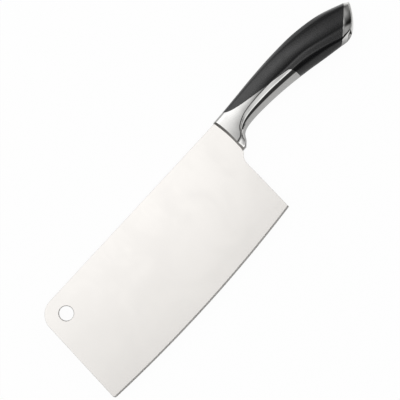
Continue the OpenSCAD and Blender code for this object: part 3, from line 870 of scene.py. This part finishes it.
def wear_and_crease_shade_group():
    """Wear of edges and painted shade in creases: splits a number that each point carries into a
    broken-up mask of wear above zero and a mask of painted shade below zero."""
    tree, given, result = effect_group("Edge Wear And Crease Shade", "Edge", 0.0, ("Worn", "Crease Shade"))
    speck = node_at(tree, "ShaderNodeTexNoise", Vector=given["Vector"], Scale=700.0, Detail=3.0)
    broken = ramp(tree, speck.outputs["Fac"], 0.3, 0.6, start=0.4)
    above = maths(tree, "MAXIMUM", given["Edge"], 0.0)
    feed(tree, result["Worn"], maths(tree, "MULTIPLY", above, broken))
    below = maths(tree, "MULTIPLY", given["Edge"], -1.0)
    feed(tree, result["Crease Shade"], maths(tree, "MAXIMUM", below, 0.0))
    return tree


def grain_group():
    """Moulded grain: small cells over fine noise."""
    tree, given, result = effect_group("Moulded Grain", "Density", 3000.0, ("Height", "Tone"))
    place = {"Vector": given["Vector"], "Scale": given["Density"]}
    cells = node_at(tree, "ShaderNodeTexVoronoi", feature="SMOOTH_F1", Smoothness=0.6, **place)
    speck = node_at(tree, "ShaderNodeTexNoise", Detail=2.0, **place).outputs["Fac"]
    height = maths(tree, "MULTIPLY_ADD", cells.outputs["Distance"], 0.6, speck)
    feed(tree, result["Height"], height)
    feed(tree, result["Tone"], speck)
    return tree


GROUP_MAKERS = {"Grind Lines": grind_lines_group, "Handling Marks": handling_group,
                "Edge Wear And Crease Shade": wear_and_crease_shade_group, "Moulded Grain": grain_group}


def effect(tree, name, **settings):
    """Outputs of one of the shared effects in a material, fed with the object's own
    coordinates."""
    group = bpy.data.node_groups.get(name)
    if group is None:
        group = GROUP_MAKERS[name]()
        arrange(group)
    place = tree.nodes.get("Object Place")
    if place is None:
        place = node_at(tree, "ShaderNodeTexCoord", name="Object Place")
    return node_at(tree, "ShaderNodeGroup", node_tree=group, Vector=place.outputs["Object"],
                   **settings).outputs


def shade(colour, factor):
    """A colour made lighter or darker."""
    return tuple(channel * factor for channel in colour)


def wear_and_shade_edges(tree, colour, edge, worn_colour, worn_share, crease_shade_share):
    """Lays the shared edge wear and painted shade over a colour: bright metal on edges and a
    painted dark shade in creases."""
    wear = effect(tree, "Edge Wear And Crease Shade", Edge=edge)
    for mask, over, share in (("Worn", worn_colour, worn_share),
                              ("Crease Shade", CREASE_SHADE_COLOUR, crease_shade_share)):
        share = maths(tree, "MULTIPLY", wear[mask], share)
        colour = mixed(tree, share, colour, (*over, 1), "RGBA")
    return colour


def finished_material(name, base, rough, metallic, texture, marks_size, marks_share, tones,
                      spread, bump_depth, rough_by="both", wear=None, honed=0.0, ior=None):
    """Material of one shared texture, given with its setting, and of handling marks of a size.
    Both masks, blended with a share of marks, run the base colour between two tones. The mask
    named by rough_by spreads the roughness, which grows by honed where the edge number is
    one, and the texture's height gives a bump of a depth. wear holds the colour of worn edges,
    the share of wear and the share of shade painted into creases."""
    material = bpy.data.materials.new(name)
    material.use_nodes = True
    material.diffuse_color = (*base, 1)
    tree = material.node_tree
    shader = tree.nodes["Principled BSDF"].inputs
    shader["Base Color"].default_value = (*base, 1)
    shader["Roughness"].default_value = rough
    shader["Metallic"].default_value = metallic
    if ior is not None:
        shader["IOR"].default_value = ior
    kind, setting = texture
    lines = effect(tree, kind, **setting)
    marks = effect(tree, "Handling Marks", Size=marks_size)["Mask"]
    both = mixed(tree, marks_share, lines["Tone"], marks)
    light, dark = tones
    colour = mixed(tree, both, (*light, 1), (*dark, 1), "RGBA")
    mask = {"both": both, "marks": marks, "texture": lines["Tone"]}[rough_by]
    low, high = spread
    roughness = node_at(tree, "ShaderNodeMapRange", Value=mask, To_Min=rough + low,
                        To_Max=rough + high).outputs["Result"]
    if wear is not None:
        edge = node_at(tree, "ShaderNodeAttribute", attribute_name="edge").outputs["Fac"]
        colour = wear_and_shade_edges(tree, colour, edge, *wear)
        if honed:
            roughness = maths(tree, "ADD", roughness, maths(tree, "MULTIPLY", edge, honed))
    feed(tree, shader["Base Color"], colour)
    feed(tree, shader["Roughness"], roughness)
    bump = node_at(tree, "ShaderNodeBump", Strength=1.0, Distance=bump_depth,
                   Height=lines["Height"])
    feed(tree, shader["Normal"], bump.outputs["Normal"])
    arrange(tree)
    return material


def blade_material():
    """Satin steel, ground in fine lines from spine to edge, with faint handling marks,
    brighter metal where the edges are broken and a rough honed bevel."""
    finish = bpy.context.scene.cleaver_finish
    base, rough = tuple(finish.blade_colour), finish.blade_roughness
    return finished_material(
        "blade_steel", base, rough, 1.0, ("Grind Lines", {"Lines": (3600.0, 45.0, 900.0)}),
        marks_size=26.0, marks_share=0.35, tones=(shade(base, 1.015), shade(base, 0.98)),
        spread=(-0.008, 0.008), bump_depth=0.004 * MM, rough_by="marks",
        wear=((0.9, 0.9, 0.9), 0.3, 0.5), honed=finish.bevel_roughness - rough)


def bolster_material(name):
    """Polished cast steel: fine polishing lines along the handle, soft handling marks, wear on
    edges and shade painted into creases.
    """
    finish = bpy.context.scene.cleaver_finish
    base = tuple(finish.bolster_colour)
    return finished_material(
        name, base, finish.bolster_roughness, 1.0,
        ("Grind Lines", {"Lines": (120.0, 4200.0, 4200.0)}),
        marks_size=90.0, marks_share=0.5, tones=(shade(base, 1.02), shade(base, 0.965)),
        spread=(-0.015, 0.025), bump_depth=0.0025 * MM, rough_by="marks",
        wear=((0.9, 0.9, 0.89), 0.5, 0.6))


def grip_material():
    """Black moulded plastic with a fine satin grain, rubbed smoother where hands hold it."""
    finish = bpy.context.scene.cleaver_finish
    base = tuple(finish.grip_colour)
    return finished_material(
        "grip_black", base, finish.grip_roughness, 0.0, ("Moulded Grain", {"Density": 2600.0}),
        marks_size=70.0, marks_share=0.5, tones=(shade(base, 1.5), shade(base, 0.7)),
        spread=(-0.06, 0.08), bump_depth=0.035 * MM, wear=((0.03, 0.03, 0.03), 0.4, 0.5), ior=1.72)


def plain_steel_material(name, base, rough, lines):
    """Steel that stays inside: lines of the cutter and a little staining."""
    return finished_material(
        name, base, rough, 1.0, ("Grind Lines", {"Lines": lines}), marks_size=150.0,
        marks_share=1.0, tones=(shade(base, 1.05), shade(base, 0.8)), spread=(-0.08, 0.08),
        bump_depth=0.02 * MM, rough_by="texture")


def resin_material():
    """Cured resin: amber, cloudy, with small pits."""
    base = (0.45, 0.33, 0.17)
    return finished_material(
        "bed_resin", base, 0.45, 0.0, ("Moulded Grain", {"Density": 900.0}), marks_size=220.0,
        marks_share=1.0, tones=(base, (0.34, 0.23, 0.10)), spread=(-0.1, 0.15),
        bump_depth=0.05 * MM, rough_by="texture")


# Inner steels: node, name of the material, colour, roughness and scale of the lines
INNER_STEELS = (
    ("tang", "tang_steel", (0.55, 0.55, 0.56), 0.42, (60.0, 2400.0, 2400.0)),
    ("grip_dowels", "dowel_steel", (0.6, 0.6, 0.6), 0.35, (900.0, 900.0, 60.0)),
    ("cap_pin", "pin_steel", (0.6, 0.6, 0.6), 0.3, (1200.0, 1200.0, 80.0)))


class CLEAVER_OT_blade(bpy.types.Operator):
    """Make the blade: tapered satin sheet with its bevel, hole, heel and notch"""

    bl_idname = "cleaver.blade"
    bl_label = "Blade"

    def execute(self, context):
        points, edge, flat = blade_points()
        piece = grid_piece("blade_body", points, True, True, edge, flat, BLADE_SHARP)
        dress(piece, blade_material(), "blade")
        return {"FINISHED"}


class CLEAVER_OT_bolster(bpy.types.Operator):
    """Make the cast bolster with its cheeks, guard and rail"""

    bl_idname = "cleaver.bolster"
    bl_label = "Bolster"

    def execute(self, context):
        points, edge = bolster_points()
        piece = grid_piece("bolster_body", points, True, False, edge)
        dress(piece, bolster_material("bolster_steel"), "bolster")
        return {"FINISHED"}


class CLEAVER_OT_grip(bpy.types.Operator):
    """Make the two moulded shells of the grip"""

    bl_idname = "cleaver.grip"
    bl_label = "Grip shells"

    def execute(self, context):
        material = grip_material()
        for side, sign in (("left", 1), ("right", -1)):
            points, edge = grip_points(sign)
            piece = grid_piece(f"grip_{side}_shell", points, True, False, edge)
            dress(piece, material, f"grip_{side}")
        return {"FINISHED"}


class CLEAVER_OT_end_cap(bpy.types.Operator):
    """Make the end cap with its crease and rim"""

    bl_idname = "cleaver.end_cap"
    bl_label = "End cap"

    def execute(self, context):
        points, edge = cap_points()
        piece = grid_piece("cap_body", points, True, False, edge)
        dress(piece, bolster_material("cap_steel"), "end_cap")
        return {"FINISHED"}


class CLEAVER_OT_inner_parts(bpy.types.Operator):
    """Finish the parts that stay inside the handle"""

    bl_idname = "cleaver.inner_parts"
    bl_label = "Inner parts"

    def execute(self, context):
        finishes = {"resin_bed": resin_material()}
        for node, *steel in INNER_STEELS:
            finishes[node] = plain_steel_material(*steel)
        for node, material in finishes.items():
            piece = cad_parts[node]
            for slot in piece.material_slots:
                slot.material = material
            if not piece.material_slots:
                piece.data.materials.append(material)
        return {"FINISHED"}


# The floor: how far it reaches and lies below the cleaver, and its points round and outwards
FLOOR_RADIUS = 6.0
FLOOR_GAP = 0.3 * MM
FLOOR_TURNS, FLOOR_RINGS = 96, 24
# Where the paper turns plain white to the camera, by the distance from the middle, and its
# share of white near the cleaver and further out
WHITE_RUN = (0.12, 0.4)
WHITE_SHARES = (0.965, 1.0)
# Share of grey light in the paper that the steel sees, its level, and lighter fields beyond
# the spine, beyond the butt and by the blade. Each field has its level and its borders: the
# axis across the border, where the field starts and where it is full.
STEEL_SHARE = 0.7
BASE_GREY = 0.18
GREY_FIELDS = (
    (0.65, (("Y", -0.04, -0.10), ("X", -0.17, -0.14))),
    (0.95, (("X", -0.127, -0.140), ("Y", -0.07, -0.045))),
    (0.42, (("X", -0.115, -0.090),)))

# Light of the sky by its angle from straight up towards the belly side, in degrees
SKY_TURNS = (
    (-180, 0.30), (-100, 0.30), (-69, 0.36), (-58, 0.40), (-45, 0.46), (-36, 0.51),
    (-27, 0.64), (-15, 0.79), (-6, 0.83), (0, 0.70), (6, 0.44), (12, 0.27), (22, 0.06),
    (30, 0.02), (66, 0.02), (72, 0.08), (80, 0.30), (95, 0.22), (180, 0.22))
# and by how far its direction leans towards the butt (below zero) or the toe
SKY_SIDES = (
    (-1, 0.30), (-0.5, 0.12), (-0.34, 0.25), (-0.27, 0.25), (-0.21, 0.20), (-0.17, 0.28),
    (-0.12, 0.93), (-0.05, 1), (0.04, 1), (0.10, 0.92), (0.155, 0.77), (0.21, 0.93),
    (0.30, 0.95), (0.36, 0.85), (0.45, 0.62), (0.55, 0.45), (0.8, 0.19), (1, 0.19))
# The light beyond the butt: how its border turns with the direction's lean across, and the
# stretch over which it ends
BUTT_LEAN = -0.25
BUTT_RUN = (-0.78, -0.62)
# The lights in the corners: the lean at which they start, the height of their middle and how
# far from it they end
CORNER_RUN = (0.42, 0.62)
LOW_HEIGHT = 0.27
LOW_RUN = (0.12, 0.22)


def floor_material():
    """White paper: part diffuse near the cleaver, where it keeps the shadow, and plain white to
    the camera further out, where the background begins. The steel sees a painted grey glow in
    it, lighter beyond the spine and lightest beyond the butt."""
    material = bpy.data.materials.new("floor_paper")
    material.use_nodes = True
    tree = material.node_tree
    tree.nodes.clear()
    ray = node_at(tree, "ShaderNodeLightPath").outputs
    place = node_at(tree, "ShaderNodeTexCoord").outputs["Object"]
    axes = node_at(tree, "ShaderNodeSeparateXYZ", place).outputs
    reach = node_at(tree, "ShaderNodeVectorMath", place, operation="LENGTH").outputs["Value"]
    seen = maths(tree, "MAXIMUM", ray["Is Camera Ray"], ray["Is Transmission Ray"])
    seen = maths(tree, "MULTIPLY", seen, ramp(tree, reach, *WHITE_RUN, *WHITE_SHARES))
    glossy = ray["Is Glossy Ray"]
    share = maths(tree, "MAXIMUM", seen, maths(tree, "MULTIPLY", glossy, STEEL_SHARE))
    grey = BASE_GREY
    for level, borders in GREY_FIELDS:
        field = level
        for axis, start, full in borders:
            edge = ramp(tree, axes[axis], start, full, BASE_GREY, level)
            field = maths(tree, "MINIMUM", field, edge)
        grey = maths(tree, "MAXIMUM", grey, field)
    paper = node_at(tree, "ShaderNodeBsdfDiffuse", Color=(0.86, 0.86, 0.86, 1))
    glow = node_at(tree, "ShaderNodeEmission", Color=(1, 1, 1, 1),
                   Strength=mixed(tree, glossy, 1.0, grey))
    blend = node_at(tree, "ShaderNodeMixShader", share, paper.outputs[0], glow.outputs[0])
    node_at(tree, "ShaderNodeOutputMaterial", blend.outputs[0])
    arrange(tree)
    return material


def floor_mesh(radius, z):
    """Round sheet as rings of points about the middle, closer together near the cleaver."""
    turn = np.linspace(0, 2 * np.pi, FLOOR_TURNS + 1)[:-1]
    reach = radius * np.linspace(0.02, 1, FLOOR_RINGS) ** 2
    ring = np.stack([np.cos(turn), np.sin(turn), 0 * turn], axis=-1)
    points = reach[:, None, None] * ring + np.array([0, 0, z])
    numbers = np.arange(points[..., 0].size).reshape(points.shape[:2])
    faces = quads(numbers, False, True).tolist() + [numbers[0].tolist()]
    mesh = bpy.data.meshes.new("floor")
    mesh.from_pydata(points.reshape(-1, 3).tolist(), [], faces)
    return mesh


def light_curve(tree, value, stops, span):
    """Number looked up in a table of places, which run over a span with its middle at zero,
    and their levels. The value has to run from zero to one over the span."""
    node = node_at(tree, "ShaderNodeValToRGB", value)
    elements = node.color_ramp.elements
    while len(elements) < len(stops):
        elements.new(0.5)
    for element, (place, level) in zip(elements, stops):
        element.position = 0.5 + place / span
        element.color = (level, level, level, 1)
    return node.outputs["Color"]


def studio_world(context):
    """Soft studio round the cleaver: a big light over the spine side that reaches past the
    camera, a dark gap, and a weaker light from the belly side, with a light beyond the butt
    and low ones in the corners. The camera sees plain white."""
    studio = context.scene.cleaver_studio
    world = bpy.data.worlds.new("studio")
    world.use_nodes = True
    context.scene.world = world
    tree = world.node_tree
    direction = node_at(tree, "ShaderNodeTexCoord").outputs["Generated"]
    x, y, z = node_at(tree, "ShaderNodeSeparateXYZ", direction).outputs
    turn = maths(tree, "MULTIPLY_ADD", maths(tree, "ARCTAN2", y, z), 0.5 / math.pi, 0.5)
    side = maths(tree, "MULTIPLY_ADD", x, 0.5, 0.5)
    light = maths(tree, "MULTIPLY", light_curve(tree, turn, SKY_TURNS, 360),
                  light_curve(tree, side, SKY_SIDES, 2))
    light = maths(tree, "MULTIPLY", light, studio.sky_level)
    butt = ramp(tree, maths(tree, "MULTIPLY_ADD", y, BUTT_LEAN, x), *BUTT_RUN,
                studio.butt_level, 0.0)
    light = maths(tree, "MAXIMUM", light, butt)
    corner = maths(tree, "MINIMUM", maths(tree, "ABSOLUTE", x), maths(tree, "ABSOLUTE", y))
    corner = ramp(tree, corner, *CORNER_RUN, 0.0, studio.corner_level)
    off_low = maths(tree, "ABSOLUTE", maths(tree, "SUBTRACT", z, LOW_HEIGHT))
    low = ramp(tree, off_low, *LOW_RUN, studio.corner_level, 0.0)
    light = maths(tree, "MAXIMUM", light, maths(tree, "MINIMUM", corner, low))
    seen = node_at(tree, "ShaderNodeLightPath").outputs["Is Camera Ray"]
    background = tree.nodes["Background"].inputs
    feed(tree, background["Strength"], mixed(tree, seen, light, 1.0))
    feed(tree, background["Color"], (1, 1, 1, 1))
    arrange(tree)


# The photograph's middle lies this far from the front of the bolster, along and across
PICTURE_MIDDLE = np.array([43.5, 27.6]) * MM
# Direction of the handle in the photograph, in pixels
HANDLE_WAY = (0.6794, -0.7337)


def add_camera(context):
    """Camera straight above the blade, turned as the photograph is."""
    studio = context.scene.cleaver_studio
    data = bpy.data.cameras.new("camera")
    camera = bpy.data.objects.new("camera", data)
    context.scene.collection.objects.link(camera)
    across, up = HANDLE_WAY
    right_way = Vector((-across, -up, 0))
    up_way = Vector((up, -across, 0))
    middle = place_offset()[:2] + PICTURE_MIDDLE
    blade_z = place_offset()[2]
    turn = Matrix((right_way, up_way, Vector((0, 0, 1)))).transposed().to_4x4()
    turn.translation = Vector((*middle, blade_z + studio.camera_height))
    camera.matrix_world = turn
    data.sensor_width = 36.0
    data.lens = data.sensor_width * studio.camera_height / studio.frame_width
    data.clip_start = 0.01
    data.clip_end = 50.0
    context.scene.camera = camera


def add_fill_lamp(context):
    """Wide soft lamp overhead that lights paper and plastic and stays out of the steel."""
    studio = context.scene.cleaver_studio
    data = bpy.data.lights.new("fill_lamp", "AREA")
    data.shape = "SQUARE"
    data.size = studio.fill_size
    data.energy = studio.fill_power
    lamp = bpy.data.objects.new("fill_lamp", data)
    lamp.location = (0, -studio.fill_size / 4, studio.fill_height)
    lamp.rotation_euler = (math.atan2(-studio.fill_size / 4, studio.fill_height), 0, 0)
    lamp.visible_camera = False
    lamp.visible_glossy = False
    context.scene.collection.objects.link(lamp)


class CLEAVER_OT_stage(bpy.types.Operator):
    """Make the camera, the soft light and the floor"""

    bl_idname = "cleaver.stage"
    bl_label = "Stage"

    def execute(self, context):
        add_camera(context)
        studio_world(context)
        add_fill_lamp(context)
        floor = bpy.data.objects.new("floor", floor_mesh(FLOOR_RADIUS, CAD_LOW.z - FLOOR_GAP))
        floor.data.materials.append(floor_material())
        context.scene.collection.objects.link(floor)
        context.scene.view_settings.view_transform = "Standard"
        return {"FINISHED"}


class CLEAVER_PT_pieces(bpy.types.Panel):
    """Lists the pieces and the stage in the sidebar"""

    bl_label = "Cleaver"
    bl_space_type = "VIEW_3D"
    bl_region_type = "UI"
    bl_category = "Cleaver"

    def draw(self, context):
        column = self.layout.column(align=True)
        for operator in OPERATORS:
            column.operator(operator.bl_idname)


SETTINGS = {
    "cleaver_blade": BladeSizes,
    "cleaver_handle": HandleSizes,
    "cleaver_finish": Finish,
    "cleaver_studio": Studio,
}
OPERATORS = (
    CLEAVER_OT_blade,
    CLEAVER_OT_bolster,
    CLEAVER_OT_grip,
    CLEAVER_OT_end_cap,
    CLEAVER_OT_inner_parts,
    CLEAVER_OT_stage,
)
CLASSES = (*SETTINGS.values(), *OPERATORS, CLEAVER_PT_pieces)


def register():
    for cls in CLASSES:
        bpy.utils.register_class(cls)
    for name, group in SETTINGS.items():
        setattr(bpy.types.Scene, name, PointerProperty(type=group))


def unregister():
    for name in SETTINGS:
        delattr(bpy.types.Scene, name)
    for cls in reversed(CLASSES):
        bpy.utils.unregister_class(cls)


def main():
    """Registers the classes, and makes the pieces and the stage."""
    register()
    bpy.ops.cleaver.blade()
    bpy.ops.cleaver.bolster()
    bpy.ops.cleaver.grip()
    bpy.ops.cleaver.end_cap()
    bpy.ops.cleaver.inner_parts()
    bpy.ops.cleaver.stage()


if __name__ == "__main__":
    main()
